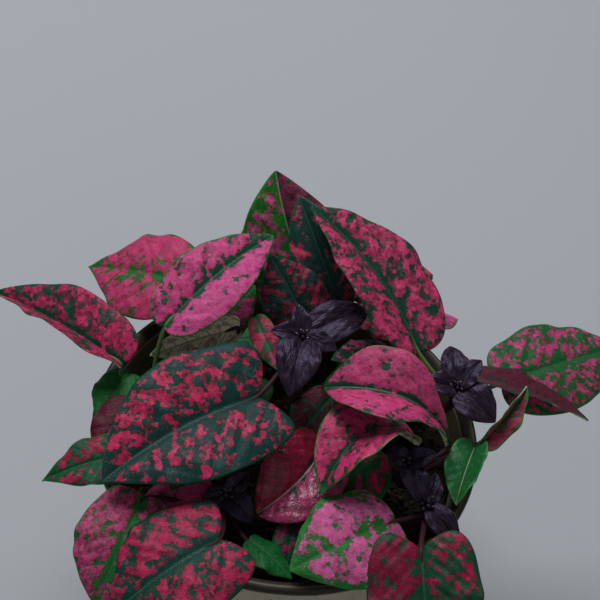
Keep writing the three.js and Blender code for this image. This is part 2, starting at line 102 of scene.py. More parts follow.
# name, stem, how far up the stem its stalk starts, base, tip, width, and what differs from LEAF
LEAVES = [
    leaf("far_left", "left", 0.95, (-48, 3, 108), (-91, 24, 106), 25, roll=6, fold=45, curl=10, arch=2,
         fall=1),
    leaf("behind_left", "back_left", 0.8, (-38, 37, 110), (-68, 48, 98), 30, roll=-20, fall=1.25, fold=12,
         arch=2),
    leaf("light_pink", "left", 0.6, (-38, 5, 124), (-13, 39, 133), 22, roll=8, fold=20, arch=3, skew=0.8,
         lobe=0.25),
    leaf("green_edged", "back_left", 0.7, (-27, 15, 112), (-16, 32, 119), 14, roll=20, fold=10),
    leaf("pale_underside", "back_left", 0.5, (-18, 16, 118), (-41, 3, 114), 14, roll=100, fold=10),
    leaf("highest", "back", 1, (4, 38, 106), (-16, 60, 139), 33, roll=-38, fold=15, curl=20, arch=2,
         skew=1.5),
    leaf("dark_upright", "back", 0.95, (8, 33, 118), (-8, 52, 138), 18, roll=-28, fold=20, arch=2),
    leaf("big_upper_right", "right_back", 0.85, (33, 18, 118), (-4, 46, 140), 29, roll=5, fold=30, arch=2,
         skew=-3, lobe=0.3),
    leaf("arched_pink", "right_front", 0.85, (46, -4, 105), (8, -3, 120), 26, roll=-7, fold=34, curl=20,
         arch=12, lobe=0, rise=1.9, fall=0.95),
    leaf("red_hanging", "right_front", 0.9, (37, -5, 106), (12, -30, 109), 23, roll=16, fold=30, curl=20,
         arch=11, skew=-2, rise=0.9, fall=0.9, lobe=0.1),
    leaf("wine_red", "centre", 0.6, (11, -10, 105), (-4, -32, 98), 24, roll=-18, fold=35, curl=35, arch=3,
         skew=2, fall=0.7),
    leaf("front_pink", "front_right", 0.9, (33, -30, 103), (7, -51, 102), 28, roll=-16, fold=6, arch=3,
         lobe=0.3),
    leaf("front_right_heart", "front_right", 0.85, (40, -40, 106), (46, -61, 90), 31, roll=8, fold=20, arch=2,
         lobe=0.8),
    leaf("front_left_heart", "front_left", 0.9, (-12, -49, 108), (-36, -69, 95), 33, roll=-5, fold=10, arch=3,
         lobe=0.8),
    leaf("front_left_rear", "front_left", 0.8, (-34, -37, 104), (-41, -64, 91), 26, roll=-10, arch=4,
         fall=0.75),
    leaf("small_left", "left", 0.7, (-41, -26, 106), (-62, -35, 100), 15, roll=-10, fold=20, arch=2,
         fall=1.15),
    leaf("big_dark", "centre", 0.95, (-9, -9, 119), (-45, -40, 111), 38, roll=-12, fold=20, curl=26, arch=2,
         skew=-2, lobe=0.7, rise=0.42, fall=0.9),
    leaf("plain_green_left", "left", 0.9, (-46, 3, 105), (-52, -12, 101), 14),
    leaf("dark_strip_left", "left", 0.8, (-44, -7, 106), (-50, -25, 101), 13),
    leaf("magenta_small", "front_left", 0.7, (-19, -26, 102), (-35, -37, 98), 14),
    leaf("narrow_red", "centre", 0.8, (-14, 17, 122), (-4, -1, 121), 8, roll=28),
    leaf("small_teal", "right_back", 0.6, (25, 24, 110), (9, 13, 114), 12),
    leaf("deep_crimson", "centre", 0.6, (3, 24, 112), (-13, 36, 128), 20, roll=-35),
    leaf("maroon_right", "right_back", 0.9, (49, 23, 106), (87, 23, 96), 20, roll=-28, fold=16, curl=10,
         arch=2),
    leaf("far_right", "right_back", 0.8, (60, 30, 98), (98, 57, 94), 30, roll=15, arch=2),
    leaf("right_blade", "right_front", 0.8, (54, 0, 104), (65, 16, 114), 10, roll=50, fold=50, curl=10),
    leaf("right_green", "right_front", 0.7, (53, 0, 104), (49, -20, 101), 13, roll=20, fold=35, curl=10),
    leaf("green_margin", "right_front", 0.7, (25, -8, 104), (13, -29, 96), 20, roll=-10),
    leaf("dusky_small", "front_left", 0.7, (6, -33, 97), (6, -43, 91), 10, roll=-10),
    leaf("plain_green_front", "front_left", 0.7, (-5, -41, 98), (8, -48, 94), 10, roll=-10),
    leaf("dull_inner", "centre", 0.4, (12, 8, 106), (2, -12, 104), 16),
    leaf("back_middle_droop", "back", 0.8, (12, 48, 104), (17, 78, 84), 27, fold=12, arch=5),
    leaf("back_left_of_middle", "back", 0.6, (-15, 47, 102), (-24, 75, 84), 27, fold=12, arch=5),
    leaf("back_left_droop", "back_left", 0.5, (-36, 39, 104), (-51, 58, 88), 20, fold=12, arch=3),
    leaf("back_upper", "back", 0.9, (8, 44, 110), (4, 72, 108), 27, fold=10, arch=3),
    leaf("back_right_inner", "right_back", 0.7, (19, 33, 107), (30, 56, 102), 19, fold=10, arch=3),
    leaf("back_left_inner", "back_left", 0.9, (-24, 36, 106), (-31, 64, 98), 24, fold=10, arch=3),
    leaf("back_right_droop", "right_back", 0.5, (34, 42, 103), (41, 65, 84), 17, fold=12, arch=4),
    leaf("rear_top_left", "back", 0.97, (-4, 52, 113), (-22, 72, 104), 24, fold=12, arch=4),
    leaf("rear_top_right", "back", 0.85, (22, 46, 117), (30, 63, 108), 20, fold=12, arch=3),
    leaf("low_right", "centre", 0.45, (12, 12, 99), (28, 32, 97), 16, fold=12, arch=2),
    leaf("low_left", "centre", 0.45, (-14, -9, 99), (-35, -17, 95), 20, fold=12, arch=3),
    leaf("low_back", "back_left", 0.45, (-21, 26, 100), (-4, 30, 97), 16, fold=12, arch=2),
    leaf("low_centre", "centre", 0.35, (-7, 6, 99), (-29, 10, 96), 19, fold=12, arch=3),
]

# for each crown: the tip and the width of each young leaf, and what differs from the usual
CROWNS = {
    "centre": [
        opened((-1, -9, 121), 13, roll=-4, arch=3),
        opened((17, 24, 125), 12, roll=20, arch=3),
        young((-9, 8, 127), 7, roll=-20),
        young((10, 7, 125), 7, roll=20),
        young((-3, 17, 130), 6),
    ],
    "right_back": [
        opened((42, 25, 115), 9, arch=2),
        opened((57, 4, 110), 12, roll=20, arch=2),
        young((35, 9, 116), 8, roll=-20),
        young((51, 19, 118), 8),
    ],
    "right_front": [
        opened((38, -24, 105), 8, arch=2),
        opened((28, -13, 111), 6, roll=-20),
        young((41, -13, 113), 6, roll=20),
    ],
    "front_right": [
        opened((51, -30, 97), 8, roll=20, arch=2),
        opened((40, -21, 103), 6, roll=-20),
        young((42, -14, 106), 6, roll=20),
    ],
    "front_left": [
        opened((-5, -36, 99), 8, roll=10, arch=2),
        opened((-19, -34, 102), 7, roll=-20),
        young((-8, -24, 105), 6, roll=20),
    ],
    "back_left": [
        opened((-42, 25, 111), 7),
        young((-30, 20, 113), 6),
        young((-31, 32, 113), 6),
    ],
}

# What each leaf looks like. cover: share that is pink. tint: 0 crimson to 1 light pink. fresh: 0 dark
# teal to 1 bright green. rim: strength of the bright green rim, partly a painted highlight
# where the margin catches light. border: width of the plain green margin in mm. deep: how far
# the pink goes to dark wine red, on some leaves as painted shade. rib: how pale the midrib is. gloss: 0
# satin to 1 wet. bloom: pale dust over the pattern, partly a painted sheen. veined: how far the
# green follows the side veins. specks: how dark the small specks are. band: how much green follows the
# midrib. right: what differs on the leaf's own right half, as seen from its base.
USUAL = dict(rim=0.3, border=0.3, deep=0, rib=0.2, gloss=0, bloom=0, veined=0.3, specks=0.5, band=0.9)


def look(cover=0.7, tint=0.3, fresh=0.2, **others):
    return dict(USUAL, cover=cover, tint=tint, fresh=fresh, **others)


SHADED = look(0.3, fresh=0.4, deep=0.4)    # the leaves low inside the plant
LOOKS = {
    "far_left": look(0.6, 0.25, 0.1, rim=0.15, border=0.2, deep=0.1, specks=1),
    "behind_left": look(0.72, 0.35, 0.75, rim=0.4, deep=0.15, bloom=0.2, veined=1, specks=0.2),
    "light_pink": look(0.66, 0.6, rim=1, specks=0.3, band=1.4, right=dict(cover=0.8, tint=0.75)),
    "green_edged": look(0.7, 0.7, 0.7, rim=1, border=0.9),
    "pale_underside": look(0.5, 0.4, 0.1, rim=0.6),
    # the darker wine red of its right half is painted shade
    "highest": look(0.5, 0.7, 1, rim=1, border=1, rib=1, bloom=0.5,
                    right=dict(cover=0.75, fresh=0.1, deep=0.8, border=0.1, rim=0.2)),
    "dark_upright": look(0.4, 0.1, 0, rim=0.5, border=0.5, bloom=0.5),
    "big_upper_right": look(0.62, 0.3, 0.1, rim=0.2, border=0.2, bloom=0.3, specks=1, band=1.9),
    "arched_pink": look(0.74, 0.45, 0.1, rim=0.6, border=0.2, rib=0.6, bloom=0.2, band=1.5,
                        right=dict(deep=0.1, bloom=0.5)),
    "red_hanging": look(0.72, 0.35, 0.15, rim=1, specks=0.7),
    "wine_red": look(0.85, 0.5, 0, border=0, deep=0.4, rib=0.9, bloom=0.4, gloss=1, specks=1,
                     right=dict(cover=1.0, tint=0, deep=0.6, bloom=0)),
    "front_pink": look(0.7, 0.85, 0.85, rim=1, border=2.2, bloom=1, specks=0.2),
    "front_right_heart": look(0.44, 0.1, rim=0.2, deep=0.4, right=dict(cover=0.66, deep=0.7)),
    "front_left_heart": look(0.6, 0.15, 0.05, border=0.5, deep=0.25, veined=0.8, band=2),
    "front_left_rear": look(0.72, 0.5, 0.7, rim=0.5, deep=0.2, bloom=0.6, veined=0.7, specks=1, band=1.8),
    "small_left": look(0.39, 0.1, 0.25, rim=0.5, border=0.4, deep=0.3, veined=0),
    "big_dark": look(0.42, 0.2, 0, border=0.8, veined=0.1, specks=0.2, right=dict(cover=0.46, tint=0.12)),
    "plain_green_left": look(0, fresh=0.6, rim=0.2),
    "dark_strip_left": look(1.2, 0, rim=0.1, deep=1, veined=0),
    "magenta_small": look(0.8, 0.6, 0.3, rim=0.2, deep=0.2),
    "narrow_red": look(0.75, 0.1, 0.3, rim=0.8, deep=0.45, bloom=0.4),
    "small_teal": look(0.5, 0.6, 0.1, bloom=0.6),
    "deep_crimson": look(0.55, 0.1, 0, rim=0.1, deep=0.4, bloom=0.5, veined=1),
    "maroon_right": look(0.85, 0, 0, rim=0.1, border=0.8, deep=1, bloom=0.25, specks=1, veined=0),
    "far_right": look(0.5, 0.5, 0.5, rim=0.8, border=0.8, bloom=0.4, deep=0.1, band=1.4),
    "right_blade": look(0.75, 0.2, 0.6, rim=0.9, deep=0.5, bloom=0.6),
    "right_green": look(0.02, 0.2, 0.5, rim=0.9, rib=1, gloss=0.4, bloom=0.5),
    "green_margin": look(0.52, 0.3, 0.4, rim=1, border=1.2, deep=0.2),
    "dusky_small": look(0.7, 0.5, deep=0.5),
    "plain_green_front": look(0, fresh=0.5),
    "dull_inner": look(0.7, 0.2, deep=1),
    "back_middle_droop": look(0.68, rim=0.4, border=0.5),
    "back_left_of_middle": look(0.58, 0.1, 0.05, border=0.8),
    "back_left_droop": look(0.72, 0.6, 0.8, rim=0.7, bloom=0.3),
    "back_upper": look(0.48, 0.15, 0.05, border=1.2),
    "back_right_inner": look(0.66, 0.2, rim=0.5, deep=0.2),
    "back_left_inner": look(0.62, 0.1, rim=0.4, border=0.6, specks=1),
    "back_right_droop": look(0.74, 0.8, 0.7, rim=0.8, bloom=0.4),
    "rear_top_left": look(0.75, 0.7, 0.5, rim=0.7),
    "rear_top_right": look(0.58, 0.15, 0.1, border=0.7),
}

# ------------------------ camera

# The view of the photograph: from the front, half from above, tipped a little to the side.
DISTANCE = 450
ELEVATION = math.radians(50.5)
TIPPED = math.radians(9.5)
AIM = np.array([-2.7, 49.6, 98.0])
SENSOR = 36
LENS = 95.1


def unit(v):
    return v / np.linalg.norm(v, axis=-1, keepdims=True)


def make_camera():
    place = np.array([0, -DISTANCE * math.cos(ELEVATION), POT_HEIGHT + DISTANCE * math.sin(ELEVATION)])
    ahead = unit(AIM - place)
    right = unit(np.cross(ahead, [0, 0, 1]))
    above = np.cross(right, ahead)
    c, s = math.cos(TIPPED), math.sin(TIPPED)
    data = bpy.data.cameras.new("camera")
    data.sensor_width = SENSOR
    data.lens = LENS
    data.clip_start = 0.01
    camera = bpy.data.objects.new("camera", data)
    bpy.context.collection.objects.link(camera)
    axes = np.column_stack([c * right + s * above, c * above - s * right, -ahead])
    matrix = np.eye(4)
    matrix[:3, :3] = axes
    matrix[:3, 3] = place * MM
    camera.matrix_world = Matrix(matrix.tolist())
    bpy.context.scene.camera = camera


make_camera()

# ------------------------ node materials


class Value:
    """What a node gives. It can be added, subtracted and multiplied as a number can."""

    def __init__(self, nodes, socket):
        self.nodes = nodes
        self.socket = socket

    def __add__(self, other):
        return self.nodes.math("ADD", self, other)

    def __sub__(self, other):
        return self.nodes.math("SUBTRACT", self, other)

    def __mul__(self, other):
        return self.nodes.math("MULTIPLY", self, other)

    def __abs__(self):
        return self.nodes.math("ABSOLUTE", self)


class Nodes:
    """A node material around one Principled shader."""

    def __init__(self, name, fixed):
        self.material = bpy.data.materials.new(name)
        self.material.use_nodes = True
        self.tree = self.material.node_tree
        self.shader = self.tree.nodes["Principled BSDF"]
        for key, value in fixed.items():
            self.shader.inputs[key].default_value = value

    def make(self, kind, inputs, **settings):
        """All that a new node gives, in the order of its sockets."""
        node = self.tree.nodes.new("ShaderNode" + kind)
        for key, value in settings.items():
            setattr(node, key, value)
        for key, value in inputs.items():
            if isinstance(value, Value):
                self.tree.links.new(value.socket, node.inputs[key])
            else:
                node.inputs[key].default_value = value
        return [Value(self, socket) for socket in node.outputs]

    def math(self, operation, *values):
        return self.make("Math", dict(enumerate(values)), operation=operation)[0]

    def fade(self, value, low, high, first=0.0, last=1.0):
        """first below low, last above high, and a smooth step between."""
        inputs = {"Value": value, "From Min": low, "From Max": high, "To Min": first, "To Max": last}
        return self.make("MapRange", inputs, interpolation_type="SMOOTHSTEP")[0]

    def mix(self, factor, a, b):
        colours = [value if isinstance(value, Value) else (*value, 1) for value in (a, b)]
        inputs = {0: factor, 6: colours[0], 7: colours[1]}
        return self.make("Mix", inputs, data_type="RGBA")[2]

    def shade(self, colour, amount):
        """colour made darker (amount under 1) or lighter (over 1)."""
        grey = self.make("CombineColor", {0: amount, 1: amount, 2: amount})[0]
        inputs = {0: 1.0, 6: colour, 7: grey}
        return self.make("Mix", inputs, data_type="RGBA", blend_type="MULTIPLY")[2]

    def vector(self, x, y, z):
        return self.make("CombineXYZ", {0: x, 1: y, 2: z})[0]

    def split(self, vector):
        return self.make("SeparateXYZ", {0: vector})

    def parts(self, name):
        """The three numbers that the mesh keeps under name."""
        return self.split(self.make("Attribute", {}, attribute_name=name)[1])

    def place(self):
        """The place on the object, in metres."""
        return self.make("TexCoord", {})[3]

    def noise(self, vector, scale, detail=2.0, roughness=0.5):
        inputs = {"Vector": vector, "Scale": scale, "Detail": detail, "Roughness": roughness}
        return self.make("TexNoise", inputs)[0]

    def cells(self, vector, scale, feature="F1", **others):
        """A cell pattern: distance, colour and position."""
        inputs = {"Vector": vector, "Scale": scale, **others}
        return self.make("TexVoronoi", inputs, feature=feature)[:3]

    def give(self, name, value):
        """value is linked to the shader's socket of that name."""
        self.tree.links.new(value.socket, self.shader.inputs[name])

    def bump(self, height, distance, strength):
        """height is in units of distance, which is in metres."""
        inputs = {"Height": height, "Distance": distance, "Strength": strength}
        self.give("Normal", self.make("Bump", inputs)[0])


# ------------------------ leaf material

CRIMSON = (0.52, 0.014, 0.066)
LIGHT_PINK = (0.56, 0.08, 0.27)
WINE_RED_AND_SHADE = (0.075, 0.003, 0.014)
DARK_TEAL = (0.006, 0.045, 0.037)
FRESH_GREEN = (0.009, 0.18, 0.012)
RIM_GREEN_AND_HIGHLIGHT = (0.035, 0.24, 0.045)
MUDDY = (0.06, 0.018, 0.02)
VEIN = (0.03, 0.085, 0.06)
PALE_RIB = (0.34, 0.33, 0.2)
DUST_AND_SHEEN = (0.34, 0.28, 0.34)
PALE_UNDER_AND_SHINE_THROUGH = (0.8, 0.79, 0.55)
PALE_RIM = (0.8, 0.82, 0.4)
DUSKY_UNDER = (0.36, 0.15, 0.2)
UNDER_VEIN = (0.16, 0.05, 0.06)
APART = 7.3    # for each number between two leaves, how far apart their noises are


def blade_values(n):
    """What the mesh says of a place on a blade, and what follows from it for more than one colour."""
    v = SimpleNamespace()
    v.along, v.out, v.seed = n.parts("leaf_at")        # mm along and across, and the leaf's own number
    v.vein, v.margin, v.is_top = n.parts("leaf_place")    # in side-vein spacings, and mm to the margin
    v.cover, v.tint, v.fresh = n.parts("leaf_tint")
    v.rim, v.border, v.deep = n.parts("leaf_edge")
    v.rib, v.gloss, v.bloom = n.parts("leaf_finish")
    v.veined, v.specks, v.band = n.parts("leaf_marks")
    v.own = v.seed * APART
    v.at = n.vector(v.along, v.out, v.own)
    v.aside = abs(v.out)
    v.vein_gap = n.math("PINGPONG", v.vein, 0.5)    # to the nearest side vein, in spacings
    v.near_vein = n.fade(v.vein_gap, 0.008, 0.04, 1.0, 0.0)
    v.near_rib = n.fade(v.aside, 0.12, 0.3, 1.0, 0.0)
    v.wander = n.noise(v.at, 0.3)
    v.mottle = n.noise(v.at, 0.8, detail=3.0)
    v.fine = n.noise(v.at, 3.5)
    return v


def leaf_pattern(n, v):
    """Where the blade is pink, muddy and dotted. All keep to small cells, so their edges are angular."""
    # one value for each cell: broad clumps, and single cells that differ from their neighbours
    _, colour, spot = n.cells(v.at, 1.05, "SMOOTH_F1", Smoothness=0.3)
    chance, speck_chance, _ = n.split(colour)
    forward, sideways, _ = n.split(spot)
    slanted = forward - abs(sideways) * 0.5
    broad = n.noise(n.vector(slanted * 1.2, sideways, v.own), 0.27, detail=3.0, roughness=0.65)
    field = broad + (chance - 0.5) * 0.14

    # more or less pink, with green along the midrib, the side veins and the margin
    lean = (v.cover - 0.5) * 0.48
    patchy = n.fade(v.wander, 0.35, 0.65, 0.2, 1.3)
    ribs = n.fade(v.aside, 0.1, 2.4, -0.22, 0.0) * (patchy * v.band)
    side_veins = n.fade(v.vein_gap, 0.03, 0.2, -0.2, 0.0) * (patchy * v.veined)
    side_veins = side_veins * n.fade(v.aside, 2.0, 9.0, 1.0, 0.1)
    ragged = v.margin - v.border + (v.wander - 0.5) * 4.0
    edge = n.fade(ragged, -0.6, 0.6, -1.0, 0.0) * n.fade(v.border, 0.0, 0.3, 0.0, 0.22)
    v.pinkness = field + lean + (ribs + side_veins + edge)

    has_pattern = n.fade(v.cover, 0.02, 0.05)
    v.pink = n.fade(v.pinkness, 0.485, 0.515) * has_pattern
    v.muddy = n.fade(v.pinkness, 0.41, 0.45) * (has_pattern * n.fade(v.wander, 0.42, 0.55))
    v.dotted = n.fade(speck_chance, 0.56, 0.68) * v.specks


def leaf_upper(n, v):
    red = n.mix(v.tint, CRIMSON, LIGHT_PINK)
    # towards dark wine red: the leaf's own colour, and on some leaves a painted shade
    red = n.mix(v.deep, red, WINE_RED_AND_SHADE)
    red = n.shade(red, v.mottle * 0.8 + n.fade(v.pinkness, 0.49, 0.64, 0.25, 0.8))
    red = n.mix(v.dotted * 0.55, red, MUDDY)
    green = n.mix(v.fresh, DARK_TEAL, FRESH_GREEN)
    green = n.mix(v.muddy * 0.45, green, MUDDY)
    green = n.shade(green, v.mottle * 0.9 + 0.55)
    colour = n.mix(v.pink, green, red)
    # pale dust over the pattern, partly a painted sheen
    dust_and_sheen_amount = n.fade(n.noise(v.at, 1.7, detail=4.0, roughness=0.7), 0.4, 0.75) * v.bloom
    colour = n.mix(dust_and_sheen_amount * n.fade(v.pink, 0.0, 1.0, 0.1, 0.5), colour, DUST_AND_SHEEN)
    colour = n.shade(colour, v.fine * 0.7 + 0.65)
    colour = n.mix(v.near_vein * 0.12, colour, VEIN)
    rib_colour = n.mix(v.rib, VEIN, PALE_RIB)
    colour = n.mix(v.near_rib * (v.rib * 0.6 + 0.25), colour, rib_colour)
    # a bright green rim, partly a painted highlight where the margin catches light
    at_rim = n.fade(v.margin, 0.08, v.rim * 0.75 + 0.2, 1.0, 0.0) * n.fade(v.wander, 0.3, 0.6, 0.5, 1.0)
    return n.mix(at_rim * v.rim * 0.9, colour, RIM_GREEN_AND_HIGHLIGHT)


def leaf_underside(n, v):
    """Pale, with the pattern showing through and dark veins."""
    # pale underside, made paler than its own colour as painted light shining through the thin leaf
    colour = n.mix(v.pink * 0.7, PALE_UNDER_AND_SHINE_THROUGH, DUSKY_UNDER)
    colour = n.mix(v.fresh * 0.35, colour, FRESH_GREEN)
    colour = n.shade(colour, v.mottle * 0.6 + 0.65)
    colour = n.mix(n.fade(v.margin, 0.3, 1.3, 0.6, 0.0), colour, PALE_RIM)
    veins = n.math("MAXIMUM", n.fade(v.vein_gap, 0.01, 0.09, 0.75, 0.0), v.near_rib * 0.6)
    return n.mix(veins, colour, UNDER_VEIN)


def leaf_material():
    """Pink blotches on green above, pale underneath, with small pillows between fine veins."""
    n = Nodes("leaf_blade", {"IOR": 1.4})
    v = blade_values(n)
    leaf_pattern(n, v)
    n.give("Base Color", n.mix(v.is_top, leaf_underside(n, v), leaf_upper(n, v)))
    n.give("Roughness", v.mottle * 0.16 + 0.34 - v.gloss * 0.24)
    n.give("Specular IOR Level", v.gloss * 0.4 + 0.22)
    pillow = n.fade(n.cells(v.at, 1.6, "DISTANCE_TO_EDGE")[0], 0.0, 0.28)
    raised = pillow * 0.6 + v.fine * 0.3 - v.near_vein * 0.5 + v.gloss * v.wander * 9.0
    n.bump(raised, 0.00012, 0.6)
    return n.material


# ------------------------ stem, young leaf and bud materials


def stem_material():
    n = Nodes("stem_and_stalk", {"IOR": 1.45, "Specular IOR Level": 0.25})
    along, around, seed = n.parts("leaf_at")
    redness = n.parts("leaf_tint")[0]
    streak = n.noise(n.vector(along * 0.5, around * 6.0, seed), 1.0, detail=3.0)
    green = n.mix(streak, (0.06, 0.13, 0.03), (0.16, 0.24, 0.08))
    purple = n.mix(streak, (0.02, 0.007, 0.012), (0.07, 0.018, 0.03))
    colour = n.mix(n.fade(redness + streak * 0.3, 0.3, 0.85), green, purple)
    cloud = n.noise(n.vector(along, around, seed), 3.0)
    n.give("Base Color", n.shade(colour, cloud * 0.5 + 0.75))
    n.give("Roughness", streak * 0.2 + 0.5)
    n.bump(streak, 0.0002, 0.6)
    return n.material


def young_material():
    """Young leaves, nearly black with a dull purple sheen: a purple specular tint, and lighter purple on the
    wrinkles as painted sheen.
    """
    n = Nodes("young_leaf", {"IOR": 1.42, "Specular IOR Level": 0.55, "Specular Tint": (0.7, 0.6, 0.95, 1)})
    along, out, seed = n.parts("leaf_at")
    vein, margin, is_top = n.parts("leaf_place")
    mottle = n.noise(n.vector(along, out, seed * APART), 0.6, detail=3.0)
    wrinkle = n.noise(n.vector(along * 0.45, out * 2.2, seed), 1.0, detail=4.0)
    # painted sheen: lighter purple where the wrinkles rise
    lighter = n.fade(wrinkle + mottle * 0.5, 0.6, 0.9)
    upper = n.mix(lighter, (0.006, 0.004, 0.009), (0.034, 0.015, 0.032))
    near_vein = n.fade(n.math("PINGPONG", vein, 0.5), 0.02, 0.1, 1.0, 0.0)
    upper = n.mix(near_vein * 0.2, upper, (0.04, 0.028, 0.045))
    edge = n.fade(margin, 0.0, 0.35, 1.0, 0.0)
    upper = n.mix(edge * 0.5, upper, (0.02, 0.04, 0.035))
    under = n.mix(mottle, (0.04, 0.02, 0.035), (0.08, 0.045, 0.06))
    n.give("Base Color", n.mix(is_top, under, upper))
    n.give("Roughness", wrinkle * 0.2 + 0.28)
    n.bump(wrinkle + mottle * 0.4, 0.0005, 0.7)
    return n.material


def bud_material():
    """Shiny beads between the young leaves."""
    n = Nodes("young_bud", {"IOR": 1.5})
    mottle = n.noise(n.vector(*n.parts("leaf_at")), 0.9)
    n.give("Base Color", n.mix(mottle, (0.004, 0.004, 0.01), (0.03, 0.012, 0.03)))
    n.give("Roughness", mottle * 0.2 + 0.08)
    return n.material


# ------------------------ meshes


class Build:
    """Collects the meshes of one piece with the values that its materials read."""

    VALUES = ("leaf_at", "leaf_place", "leaf_tint", "leaf_edge", "leaf_finish", "leaf_marks", "crumb")

    def __init__(self):
        self.points = []
        self.faces = []
        self.slots = []
        self.values = {name: [] for name in self.VALUES}
        self.count = 0

    def add(self, points, faces, slot=0, **values):
        points = np.asarray(points, float).reshape(-1, 3)
        self.points.append(points)
        self.faces += [tuple(int(i) + self.count for i in face) for face in faces]
        self.slots += [slot] * len(faces)
        for name in self.VALUES:
            value = values.get(name, (0.0, 0.0, 0.0))
            self.values[name].append(np.broadcast_to(np.asarray(value, float), points.shape))
        self.count += len(points)

    def piece(self, name, materials):
        mesh = bpy.data.meshes.new(name)
        mesh.from_pydata((np.concatenate(self.points) * MM).tolist(), [], self.faces)
        for material in materials:
            mesh.materials.append(material)
        mesh.polygons.foreach_set("material_index", self.slots)
        mesh.polygons.foreach_set("use_smooth", [True] * len(mesh.polygons))
        for key in self.VALUES:
            values = np.concatenate(self.values[key]).astype(np.float32)
            if values.any():
                made = mesh.attributes.new(key, "FLOAT_VECTOR", "POINT")
                made.data.foreach_set("vector", values.ravel())
        mesh.update()
        piece = bpy.data.objects.new(name, mesh)
        bpy.context.collection.objects.link(piece)
        return piece


def closed_rings(rings, sides):
    """The faces of a body of rings. Two more points close it, the first at its start."""
    faces = []
    for k in range(sides):
        after = (k + 1) % sides
        faces.append((rings * sides, after, k))
        faces.append((rings * sides + 1, (rings - 1) * sides + k, (rings - 1) * sides + after))
        for start in range(0, (rings - 1) * sides, sides):
            a, b = start + k, start + after
            faces.append((a, b, b + sides, a + sides))
    return faces


def unit_ball(subdivisions):
    ball = bmesh.new()
    bmesh.ops.create_icosphere(ball, subdivisions=subdivisions, radius=1)
    points = np.array([corner.co for corner in ball.verts])
    faces = [[corner.index for corner in face.verts] for face in ball.faces]
    ball.free()
    return points, faces


def smoothstep(x, low, high):
    x = np.clip((x - low) / (high - low), 0, 1)
    return x * x * (3 - 2 * x)


# ------------------------ blades, by the part's formula


def outline(leaf, t):
    rise, fall = leaf["rise"], leaf["fall"]
    widest = rise / (rise + fall)
    return t ** rise * (1 - t) ** fall / (widest ** rise * (1 - widest) ** fall)


def turn(v, axis, angle):
    return (v * math.cos(angle) + np.cross(axis, v) * math.sin(angle)
            + axis * np.dot(axis, v) * (1 - math.cos(angle)))


def directions(leaf):
    base = np.array(leaf["base"], float)
    line = np.array(leaf["tip"], float) - base
    length = np.linalg.norm(line)
    along = line / length
    up = unit(np.array([0, 0, 1]) - along * along[2])
    up = turn(up, along, math.radians(leaf["roll"]))
    return base, along, up, np.cross(up, along), length


def sweep(leaf, t):
    """How far the halves reach back at the base and forward after it, as a share of the way out."""
    return ((leaf["lobe"] + FORWARD) * smoothstep(t, 0, FORWARD_FROM) - leaf["lobe"]) * (1 - t)


def blade_point(leaf, t, s):
    """Points of the middle surface for t along the blade (0 to 1) and s across it (-1 to 1)."""
    base, along, up, side, length = directions(leaf)
    t, s = np.broadcast_arrays(t, s)
    t3 = t[..., None]
    bow, slope = 4 * t3 * (1 - t3), 4 * (1 - 2 * t3)
    arch, skew = leaf["arch"], leaf["skew"]
    middle = base + along * length * t3 + up * arch * bow + side * skew * bow
    tangent = unit(along * length + up * arch * slope + side * skew * slope)
    normal = unit(up - tangent * (tangent @ up)[..., None])
    across = np.cross(normal, tangent)
    shape = outline(leaf, t)
    half = leaf["width"] / 2 * shape
    fold, curl = math.radians(leaf["fold"]), math.radians(leaf["curl"])
    u = np.abs(s)
    out = half * (math.sin(fold) - np.sin(fold - curl * u)) / curl
    ripple = leaf["wave"] * np.sin(2 * math.pi * WAVE_COUNT * t + np.where(s > 0, WAVE_SHIFT, 0))
    lift = half * (np.cos(fold - curl * u) - math.cos(fold)) / curl + ripple * u * u * shape
    return (middle + across * (np.sign(s) * out)[..., None] + normal * lift[..., None]
            + tangent * (sweep(leaf, t) * half * u)[..., None])


def blade_normal(leaf, t, s):
    """Square to the middle surface, measured over a short step and a little inside its edges."""
    step = 0.004
    t, s = np.clip(t, 3 * step, 1 - 3 * step), np.clip(s, -0.97, 0.97)
    down = blade_point(leaf, t + step, s) - blade_point(leaf, t - step, s)
    over = blade_point(leaf, t, s + step) - blade_point(leaf, t, s - step)
    return unit(np.cross(down, over))


VEIN_PAIRS = 8
VEIN_SHIFT = 0.45    # the veins of one side start this far after the other's, in spacings


def vein_place(leaf, t, s):
    """(along, out, vein): the distances along and across the blade in mm, and the place where the side
    vein through the point leaves the midrib, in spacings of the side veins."""
    length = directions(leaf)[4]
    half = leaf["width"] / 2 * outline(leaf, t)
    aside = half * np.abs(s)
    forward = length * t + sweep(leaf, t) * aside
    spacing = length / VEIN_PAIRS
    start = forward - aside * (0.5 + 0.35 * aside / (leaf["width"] / 2))
    return forward, np.sign(s) * aside, start / spacing + np.where(s > 0, VEIN_SHIFT, 0)


def stations(count, edge):
    """Places from -1 to 1, close together next to both ends."""
    inside = np.linspace(-1, 1, count)
    inside = np.sign(inside) * (1 - (1 - np.abs(inside)) ** 1.15)
    return np.sort(np.concatenate([[-1], inside[1:-1] * (1 - edge), [-1 + edge, 1 - edge], [1]]))


# how finely a blade is made, its thickness in mm, the height of its quilts and crumples as shares of
# its width, and pleats: how much longer and narrower than usual the crumples are
GROWN = dict(rows=64, columns=41, thickness=0.5, quilting=0.008, crumple=0.009, pleats=1)
UNFOLDING = dict(rows=40, columns=27, thickness=0.55, quilting=0.006, crumple=0.022, pleats=1.8)

# the midrib's groove and the ridge under it, and the flutter of the margin, as shares of the width
GROOVE_WIDTH = 0.022
GROOVE_DEPTH = 0.016
RIDGE = 0.025
FLUTTER = 0.012
ROUND = 6.28    # a full turn, near enough for a random start


